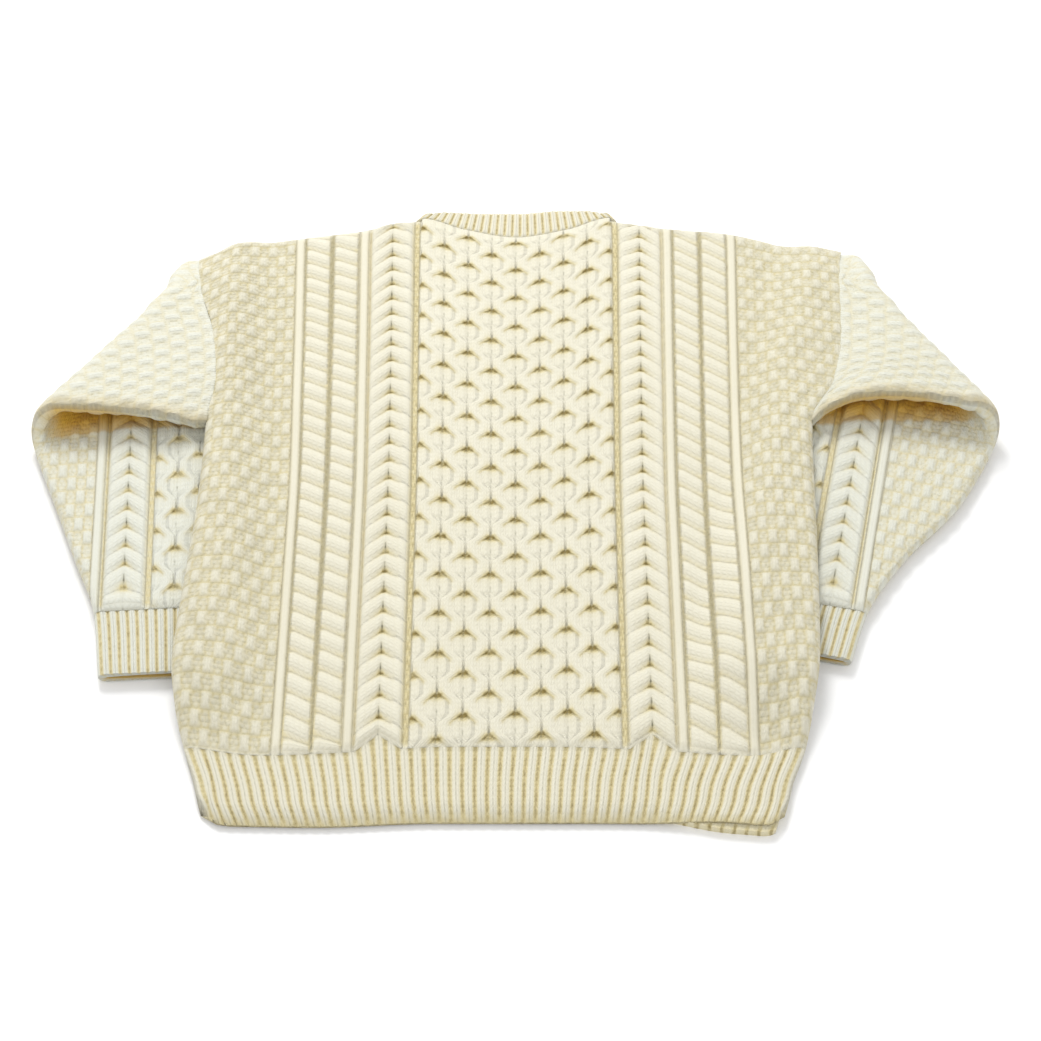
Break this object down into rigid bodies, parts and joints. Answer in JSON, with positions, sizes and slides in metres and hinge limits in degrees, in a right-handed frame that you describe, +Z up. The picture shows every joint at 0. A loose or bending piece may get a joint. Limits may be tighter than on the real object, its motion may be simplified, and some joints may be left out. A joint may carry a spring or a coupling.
{
  "type": "cable knit sweater",
  "caption": "Thick cream wool cable knit sweater laid flat with its back up, its sleeves folded under it, with honeycomb, chevron and rope cables between moss stitch sides.",
  "frame": {"origin": "on the surface the sweater lies on, under the middle of its outline", "axes": "+X across the sweater towards the sleeve that is on the right when it is seen from its hem, +Y from the hem to the neck, +Z up from the surface, out of the back panel"},
  "size_m": [0.8283, 0.6616, 0.0495],
  "materials": {
    "cream_wool_knit": "matt undyed wool in cable and moss stitch, warm ochre in its hollows",
    "cream_wool_rib": "matt undyed wool in one by one rib"
  },
  "bodies": {
    "root": {"back": "cream_wool_knit", "front": "cream_wool_knit", "sleeve_left": "cream_wool_knit", "sleeve_right": "cream_wool_knit", "neckband": "cream_wool_rib"}
  },
  "joints": []
}
